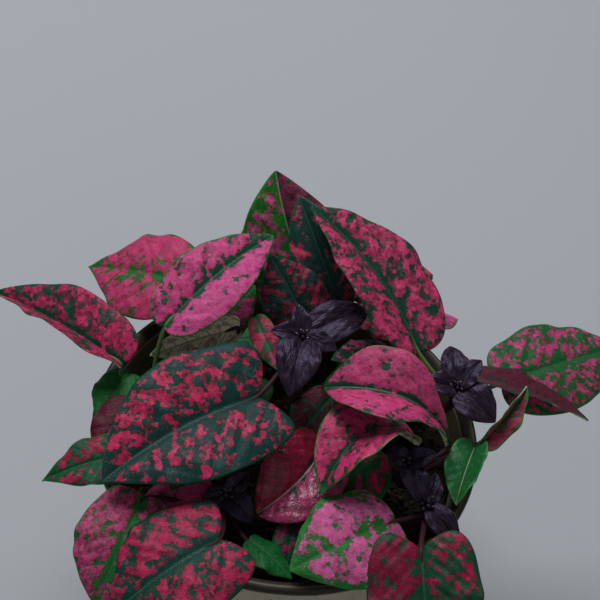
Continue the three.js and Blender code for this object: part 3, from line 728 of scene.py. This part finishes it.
def blade_surfaces(leaf, tt, ss, place, form, seed):
    """The upper and lower points: quilted between side veins, a grooved midrib and a sharp margin."""
    along, out, vein = place
    normal = blade_normal(leaf, tt, ss)
    width, shape = leaf["width"], outline(leaf, tt)
    half = width / 2 * shape
    aside = np.abs(ss) * half
    off_rib = smoothstep(aside, 0.02 * width, 0.14 * width)
    inner = off_rib * smoothstep((1 - np.abs(ss)) * half, 0, 0.12 * width)
    quilt = np.sin(math.pi * vein) ** 2 * inner
    rng = np.random.default_rng(seed)
    phase = rng.uniform(0, ROUND, 4)
    down, over = along / form["pleats"], out * form["pleats"]
    uneven = (np.sin(down * 0.8 + phase[0]) * np.sin(over * 0.7 + phase[1])
              + 0.6 * np.sin(down * 1.9 + phase[2]) * np.sin(over * 1.7 + phase[3])) * inner
    groove = np.exp(-((aside / (GROOVE_WIDTH * width + 0.2)) ** 2)) * (1 - tt) ** 0.4
    edge = rng.uniform(0, ROUND, 3)
    flutter = np.sin(19 * tt + edge[0]) + np.sin(31 * tt * np.sign(ss) + edge[1])
    relief = (form["quilting"] * quilt + form["crumple"] * uneven - GROOVE_DEPTH * groove
              + FLUTTER * flutter * np.abs(ss) ** 4 * shape)
    top = blade_point(leaf, tt, ss) + normal * (width * relief)[..., None]
    body = form["thickness"] / 2 * (1 - np.abs(ss) ** 16)
    below = body + RIDGE * width * groove
    return top + normal * body[..., None], top - normal * below[..., None]


def two_sided(rows, columns):
    """The faces of an upper and a lower grid joined at their edges, and the points that they use."""
    index = np.arange(rows * columns).reshape(rows, columns)
    index[0, :] = index[0, 0]
    index[-1, :] = index[-1, 0]
    under = index + rows * columns
    under[:, 0], under[:, -1] = index[:, 0], index[:, -1]
    under[0, :], under[-1, :] = index[0, 0], index[-1, 0]
    faces = []
    for grid, flip in ((index, False), (under, True)):
        a, b, c, d = grid[:-1, :-1], grid[1:, :-1], grid[1:, 1:], grid[:-1, 1:]
        for quad in np.stack([a, b, c, d], -1).reshape(-1, 4):
            corners = list(dict.fromkeys(quad.tolist()))
            if len(corners) > 2:
                faces.append(corners[::-1] if flip else corners)
    used = np.unique(np.concatenate(faces))
    renumber = np.full(2 * rows * columns, -1)
    renumber[used] = np.arange(len(used))
    return [renumber[face] for face in faces], used


def blade_mesh(build, leaf, look, seed, form):
    """A closed blade with the values that its material reads."""
    steps = np.linspace(0, 1, form["rows"])
    t = (0.5 - 0.5 * np.cos(math.pi * steps)) * 0.6 + steps * 0.4
    tt, ss = np.meshgrid(t, stations(form["columns"], 0.03), indexing="ij")
    along, out, vein = vein_place(leaf, tt, ss)
    upper, lower = blade_surfaces(leaf, tt, ss, (along, out, vein), form, seed)
    faces, used = two_sided(*tt.shape)
    to_side = (1 - np.abs(ss)) * leaf["width"] / 2 * outline(leaf, tt)
    margin = np.minimum(to_side, (1 - tt) * directions(leaf)[4] * 0.5)
    right_look = {**look, **look.get("right", {})}

    def both(*grids):
        """The grids' values side by side, for the points of the upper side and then the lower."""
        return np.tile(np.stack([grid.ravel() for grid in grids], -1), (2, 1))[used]

    def values(*names):
        return both(*(np.where(ss < 0, right_look[name], look[name]) for name in names))

    place = both(vein, margin, np.zeros(tt.shape))
    place[:, 2] = used < tt.size    # 1 on the upper side
    build.add(np.concatenate([upper.reshape(-1, 3), lower.reshape(-1, 3)])[used], faces,
              leaf_at=both(along, out, np.full(tt.shape, seed % 97)), leaf_place=place,
              leaf_tint=values("cover", "tint", "fresh"), leaf_edge=values("rim", "border", "deep"),
              leaf_finish=values("rib", "gloss", "bloom"), leaf_marks=values("veined", "specks", "band"))


# ------------------------ stems and stalks


STEM_SLOT = 1    # the stem's material is the second of a leafy stem's two
STEM_RINGS, STEM_SIDES = 60, 16
STALK_RINGS, STALK_SIDES = 26, 12


def spline(points, t):
    """The centripetal Catmull-Rom curve through points, at places t from 0 to 1."""
    points = [np.array(p, float) for p in points]
    points = [2 * points[0] - points[1], *points, 2 * points[-1] - points[-2]]
    last = len(points) - 3
    made = []
    for place in np.atleast_1d(t) * last:
        i = min(int(place), last - 1)
        w = place - i
        p = points[i:i + 4]
        d = [max(np.sum((p[k + 1] - p[k]) ** 2) ** 0.25, 1e-4) for k in range(3)]
        out = (p[1] - p[0]) / d[0] - (p[2] - p[0]) / (d[0] + d[1]) + (p[2] - p[1]) / d[1]
        back = (p[2] - p[1]) / d[1] - (p[3] - p[1]) / (d[1] + d[2]) + (p[3] - p[2]) / d[2]
        out, back = out * d[1], back * d[1]
        rise = p[2] - p[1]
        made.append(p[1] + out * w + (3 * rise - 2 * out - back) * w ** 2
                    + (out + back - 2 * rise) * w ** 3)
    return np.array(made)


def stem_points(stem):
    x, y = stem["foot"]
    top_x, top_y, top_z = stem["top"]
    sinks, rises = STRAIGHT
    return [(x, y, SOIL_TOP - HOLE_DEPTH + GAP), (x, y, SOIL_TOP + sinks), (x, y, SOIL_TOP + rises),
            (top_x, top_y, top_z - NECK), (top_x, top_y, top_z)]


def tube(build, path, radii, sides, redness, seed):
    """A closed tube along path. redness is one value for each point."""
    path = np.asarray(path)
    tangent = unit(np.gradient(path, axis=0))
    side = np.cross(tangent[0], [0.3, 1, 0.2])    # any way off the path
    rings = []
    for p, d, r in zip(path, tangent, radii):
        side = unit(side - d * np.dot(side, d))
        other = np.cross(d, side)
        angle = np.arange(sides) / sides * 2 * math.pi
        rings.append(p + r * (np.outer(np.cos(angle), side) + np.outer(np.sin(angle), other)))
    n = len(path)
    points = np.concatenate([*rings, path[:1], path[-1:]])
    run = np.concatenate([[0], np.cumsum(np.linalg.norm(np.diff(path, axis=0), axis=1))])
    ring_of = np.concatenate([np.repeat(np.arange(n), sides), [0, n - 1]])
    angle = np.concatenate([np.tile(np.abs(np.arange(sides) / sides - 0.5), n), [0, 0]])
    red = redness[ring_of]
    build.add(points, closed_rings(n, sides), STEM_SLOT, leaf_tint=np.stack([red, red, red], -1),
              leaf_at=np.stack([run[ring_of], angle, np.full(len(points), float(seed))], -1))


def stalk_mesh(build, leaf, seed, redness):
    """The stalk swells where it leaves the stem and thins out into the ridge under the midrib."""
    start = spline(stem_points(STEMS[leaf["stem"]]), leaf["at"])[0]
    under = []
    for t in (PETIOLE_JOINS, PETIOLE_ENDS):
        place = (np.array([t]), np.array([0.0]))
        under.append(blade_point(leaf, *place)[0] - blade_normal(leaf, *place)[0] * PETIOLE_BELOW)
    run = np.linspace(0, 1, STALK_RINGS)
    points = spline([start, *under], run)
    radii = PETIOLE_RADIUS * (0.82 + 0.35 * np.exp(-((run / 0.12) ** 2)) - 0.42 * smoothstep(run, 0.5, 1))
    tube(build, points, radii, STALK_SIDES, redness * (1 - 0.2 * run), seed)


def stem_mesh(build, name, seed):
    places = np.linspace(0, 1, STEM_RINGS)
    points = spline(stem_points(STEMS[name]), places)
    radii = STEM_RADIUS * (1.02 - 0.3 * places)
    for leaf in LEAVES:
        if leaf["stem"] == name:
            radii = radii + 0.28 * np.exp(-(((places - leaf["at"]) / 0.025) ** 2))    # a knot
    tube(build, points, radii, STEM_SIDES, 0.2 + 0.8 * places, seed)


USUAL_REDNESS = 0.8
STALK_REDNESS = {"narrow_red": 0.9, "light_pink": 0.1, "far_left": 0.05, "big_upper_right": 0.1,
                 "far_right": 0.2, "maroon_right": 0.7}


def foliage(name, seed, materials):
    build = Build()
    stem_mesh(build, name, seed)
    for number, row in enumerate(LEAVES):
        if row["stem"] == name:
            own = 11 + 13 * number
            stalk_mesh(build, row, own, STALK_REDNESS.get(row["name"], USUAL_REDNESS))
            blade_mesh(build, row, LOOKS.get(row["name"], SHADED), own, GROWN)
    piece = build.piece(f"foliage_{name}", materials)
    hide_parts(f"leafy_stem_{name}")
    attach(piece, "root")


# ------------------------ crowns

BUD_SLOT = 1    # the buds' material is the second of a crown's two
BUDS = 11
BUD_TURN = 2.4    # from one bud to the next, in radians: the golden angle
BUD_SPREAD = 1.1    # how far down the crown's core they go, as a share of its radius


def bead(build, centre, radius, direction, seed):
    """A small pointed bud."""
    side = unit(np.cross(direction, [0.31, 0.2, 1]))
    at, faces = unit_ball(3)
    at = at * [0.85, 0.85, 1]
    at[:, 2] *= np.where(at[:, 2] > 0, 1.25, 1)    # drawn out to its tip
    axes = np.array([side, np.cross(direction, side), direction])
    build.add(centre + radius * at @ axes, faces, BUD_SLOT, leaf_at=at * 1.4 + seed)


def crown(name, seed, materials):
    build = Build()
    top = np.array(STEMS[name]["top"], float)
    centre = top + [0, 0, GAP + BUD]
    for number, row in enumerate(CROWNS[name]):
        blade_mesh(build, {**row, "base": centre}, look(), seed + 7 * number, UNFOLDING)
    rng = np.random.default_rng(seed)
    for k in range(BUDS):
        angle, height = BUD_TURN * k, 1 - BUD_SPREAD * k / BUDS
        flat = math.sqrt(max(1 - height * height, 0))
        direction = np.array([math.cos(angle) * flat, math.sin(angle) * flat, height])
        bead(build, centre + direction * BUD * 0.8, rng.uniform(0.6, 0.95), direction, seed + k)
    piece = build.piece(f"young_leaves_{name}", materials)
    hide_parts(f"crown_{name}")
    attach(piece, "root")


leaf_blade, stem_skin = leaf_material(), stem_material()
young_leaf, young_bud = young_material(), bud_material()
for number, name in enumerate(STEMS):
    foliage(name, 5 + 3 * number, [leaf_blade, stem_skin])
for number, name in enumerate(CROWNS):
    crown(name, 41 + 5 * number, [young_leaf, young_bud])

# ------------------------ pot


FLARE = (RIM_RADIUS - LIP_STEP - FOOT_RADIUS) / POT_HEIGHT


def taper(z):
    return FOOT_RADIUS + FLARE * z


def inner_radius(z):
    return taper(z) - POT_WALL


def rounded(points, radius, steps=5):
    """The polyline with its corners rounded."""
    points = [np.array(p, float) for p in points]
    made = [points[0]]
    for before, corner, after in zip(points, points[1:], points[2:]):
        a, b = before - corner, after - corner
        reach = min(radius, np.linalg.norm(a) * 0.45, np.linalg.norm(b) * 0.45)
        first, last = corner + unit(a) * reach, corner + unit(b) * reach
        for k in range(steps + 1):
            w = k / steps
            made.append(first * (1 - w) ** 2 + corner * 2 * w * (1 - w) + last * w * w)
    made.append(points[-1])
    return made


def along_profile(points, spacing):
    made = [points[0]]
    for a, b in zip(points, points[1:]):
        count = max(1, round(np.linalg.norm(b - a) / spacing))
        made += [a + (b - a) * k / count for k in range(1, count + 1)]
    return np.array(made)


def lathe(build, profile, sides, offset):
    """Turns (radius, height) points round the pot's axis, from the axis back to the axis."""
    profile = np.asarray(profile)
    angle = np.arange(sides) / sides * 2 * math.pi
    body = profile[1:-1]
    r, z = (np.repeat(body[:, [i]], sides, 1) for i in (0, 1))
    r, z = offset(r, z, angle[None, :])
    points = np.stack([r * np.cos(angle), r * np.sin(angle), z], -1).reshape(-1, 3)
    ends = [[0, 0, profile[0][1]], [0, 0, profile[-1][1]]]
    build.add(np.concatenate([points, ends]), closed_rings(len(body), sides))


def pot_material():
    n = Nodes("speckled_stoneware", {"IOR": 1.5, "Specular IOR Level": 0.35})
    place = n.place()
    x, y, height = n.split(place)
    radius = n.math("SQRT", x * x + y * y)
    cloud = n.noise(place, 55.0, detail=4.0, roughness=0.6)
    grain = n.noise(place, 900.0, detail=3.0, roughness=0.6)
    wall = n.mix(cloud, (0.4, 0.345, 0.25), (0.53, 0.47, 0.35))
    wall = n.shade(wall, grain * 0.3 + 0.85)
    speck_size = n.noise(place, 260.0)
    for scale, size in ((420.0, 0.2), (820.0, 0.24)):
        dot = n.cells(place, scale)[0]
        dot = n.fade(dot - speck_size * size, 0.0, 0.06, 1.0, 0.0)
        wall = n.mix(dot * 0.75, wall, (0.07, 0.045, 0.03))

    # iron-brown lip with a painted highlight along its crest, and an olive-brown inside
    ragged = height + (cloud - 0.5) * 0.0012
    on_lip = n.fade(ragged, (POT_HEIGHT - 2.6) * MM, (POT_HEIGHT - 1.6) * MM)
    brown = n.mix(cloud, (0.015, 0.01, 0.006), (0.038, 0.025, 0.015))
    outer = n.mix(on_lip, wall, brown)
    from_crest = abs(radius - (RIM_RADIUS - POT_WALL / 2) * MM)
    at_top = n.fade(height, (POT_HEIGHT - 0.7) * MM, (POT_HEIGHT - 0.2) * MM)
    # the pale line along the crest is a painted highlight
    crest_highlight = n.fade(from_crest, 0.0001, 0.0005, 1.0, 0.0) * at_top
    outer = n.mix(crest_highlight * 0.5, outer, (0.2, 0.16, 0.11))
    is_inside = n.math("LESS_THAN", radius, height * FLARE + FOOT_RADIUS * MM - POT_WALL * 0.6 * MM)
    above_floor = n.math("GREATER_THAN", height, (POT_FLOOR - 1) * MM)
    under_lip = n.fade(height, (POT_HEIGHT - 3.2) * MM, (POT_HEIGHT - 2.0) * MM, 1.0, 0.0)
    olive = n.mix(cloud, (0.1, 0.085, 0.045), (0.17, 0.145, 0.085))
    n.give("Base Color", n.mix(is_inside * above_floor * under_lip, outer, olive))
    n.give("Roughness", n.fade(on_lip, 0.0, 1.0, 0.78, 0.62))
    n.bump(grain * 0.6 + cloud * 0.8, 0.00025, 0.5)
    return n.material


POT_SIDES = 160


def make_pot():
    lip_under = POT_HEIGHT - LIP_HEIGHT
    bevel = 1.2
    lines = [
        (0, 0), (FOOT_RADIUS - 1.5, 0), (taper(bevel) + 0.1, bevel),
        (taper(lip_under - 0.4), lip_under - 0.4),
        (taper(lip_under) + LIP_STEP, lip_under + 0.9), (RIM_RADIUS - 0.15, POT_HEIGHT - 2.9),
        (RIM_RADIUS, POT_HEIGHT - 1.5), (RIM_RADIUS - 0.4, POT_HEIGHT - 0.4),
        (RIM_RADIUS - POT_WALL / 2, POT_HEIGHT), (RIM_RADIUS - POT_WALL + 0.3, POT_HEIGHT - 0.35),
        (inner_radius(POT_HEIGHT), POT_HEIGHT - 1.6), (inner_radius(POT_FLOOR), POT_FLOOR),
        (0, POT_FLOOR),
    ]
    profile = along_profile(rounded(lines, radius=0.9), spacing=1.1)

    def thrown(r, z, angle):
        """Shallow finger rings and a slightly uneven wall."""
        wall = smoothstep(z, 3, 10) * smoothstep(z, lip_under - 1, lip_under - 4)
        rings = 0.1 * np.sin(z * 1.15 + 0.35 * np.sin(angle)) + 0.05 * np.sin(z * 2.7 + 1.3)
        uneven = 0.12 * np.sin(2 * angle + 0.05 * z) * smoothstep(z, 3, 10)
        return r + wall * rings + np.where(r > 8, uneven, 0), z

    build = Build()
    lathe(build, profile, POT_SIDES, thrown)
    piece = build.piece("stoneware_pot", [pot_material()])
    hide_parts("pot")
    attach(piece, "root")


make_pot()

# ------------------------ potting mix


def soil_material():
    n = Nodes("potting_mix", {"IOR": 1.4, "Specular IOR Level": 0.2})
    cloud = n.noise(n.place(), 120.0, detail=5.0, roughness=0.65)
    grain = n.noise(n.place(), 900.0, detail=3.0)
    colour = n.mix(n.fade(cloud, 0.35, 0.7), (0.006, 0.0045, 0.0035), (0.017, 0.012, 0.008))
    colour = n.mix(n.parts("crumb")[0], colour, (0.065, 0.04, 0.024))
    n.give("Base Color", n.shade(colour, grain * 0.6 + 0.7))
    n.give("Roughness", cloud * 0.2 + 0.75)
    n.bump(grain + cloud, 0.0003, 0.8)
    return n.material


def heaps(x, y):
    """The height of the mix over its level, as in the part."""
    low = np.sin(0.3 * (x + y / 2)) * np.cos(0.3 * (y - x / 3))
    rough = np.sin(0.8 * (x + 2)) * np.sin(0.8 * y)
    return 1.1 * (low + rough / 2)


SOIL_SIDES = 168
SOIL_RINGS = 56
CRUMBS = 2600
# low waves on the heaps: how fast they turn in radians for each mm, their height, and two starts
WAVELETS = ((1.3, 0.35, 0.4, 1.1), (2.3, 0.25, 2.0, 0.3), (3.9, 0.16, 0.9, 2.2))


def make_soil():
    bottom = POT_FLOOR + GAP
    edge = inner_radius(SOIL_TOP) - SOIL_CLEAR
    level = [(r, SOIL_TOP) for r in np.linspace(edge, 0.6, SOIL_RINGS)]
    rng = np.random.default_rng(7)

    def heaped(r, z, angle):
        x, y = r * np.cos(angle), r * np.sin(angle)
        fine = sum(np.sin(f * x + p) * np.cos(f * 0.9 * y + q) * height for f, height, p, q in WAVELETS)
        rough = rng.normal(0, 0.28, r.shape) * smoothstep(r, 1, 10)
        rise = (heaps(x, y) + fine + rough) * smoothstep(edge - r, 0, 3)
        return r, z + np.where(z == SOIL_TOP, rise, 0)    # the foot stays plain

    build = Build()
    foot = inner_radius(bottom) - SOIL_CLEAR
    lathe(build, [(0, bottom), (foot, bottom), *level, (0, SOIL_TOP)], SOIL_SIDES, heaped)
    corners, faces = unit_ball(1)
    for _ in range(CRUMBS):
        distance = edge * math.sqrt(rng.uniform(0, 0.93))
        turned = rng.uniform(0, 2 * math.pi)
        x, y = distance * math.cos(turned), distance * math.sin(turned)
        size = 0.35 + 1.1 * rng.uniform() ** 2
        lift = heaps(x, y) * smoothstep(edge - distance, 0, 3) + SOIL_TOP + size * 0.25
        crumb = corners * rng.uniform(0.65, 1.15, (len(corners), 1)) * rng.uniform(0.6, 1.2, 3)
        tone = 0.1 + 0.9 * rng.uniform() ** 2
        build.add(crumb * size + [x, y, lift], faces, crumb=(tone, tone, tone))
    piece = build.piece("potting_mix", [soil_material()])
    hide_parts("soil")
    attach(piece, "root")


make_soil()

# ------------------------ floor and light


def plain_floor():
    mesh = bpy.data.meshes.new("floor")
    reach = 6.0
    corners = [(-reach, -reach, 0), (reach, -reach, 0), (reach, reach, 0), (-reach, reach, 0)]
    mesh.from_pydata(corners, [], [(0, 1, 2, 3)])
    n = Nodes("floor", {"Roughness": 0.9})
    colour = n.mix(n.noise(n.place(), 1.2), (0.435, 0.443, 0.463), (0.485, 0.493, 0.515))
    n.give("Base Color", colour)
    mesh.materials.append(n.material)
    floor = bpy.data.objects.new("floor", mesh)
    bpy.context.collection.objects.link(floor)


PLANT = (0, 0, 0.11)    # where the lights aim, in metres


def soft_light(name, place, size, power, colour=(1, 1, 1)):
    data = bpy.data.lights.new(name, "AREA")
    data.shape = "DISK"
    data.size = size
    data.energy = power
    data.color = colour
    light = bpy.data.objects.new(name, data)
    bpy.context.collection.objects.link(light)
    light.location = place
    way = Vector(PLANT) - Vector(place)
    light.rotation_euler = way.to_track_quat("-Z", "Y").to_euler()


plain_floor()
soft_light("overhead", (-0.3, 0.5, 1.2), size=0.8, power=12.5, colour=(0.93, 0.97, 1.0))
soft_light("front_fill", (0.5, -1.1, 0.9), size=1.2, power=1.2)

world = bpy.data.worlds.new("world")
world.use_nodes = True
background = world.node_tree.nodes["Background"]
background.inputs["Color"].default_value = (0.8, 0.86, 0.93, 1)
background.inputs["Strength"].default_value = 0.15
bpy.context.scene.world = world
bpy.context.scene.view_settings.view_transform = "Standard"
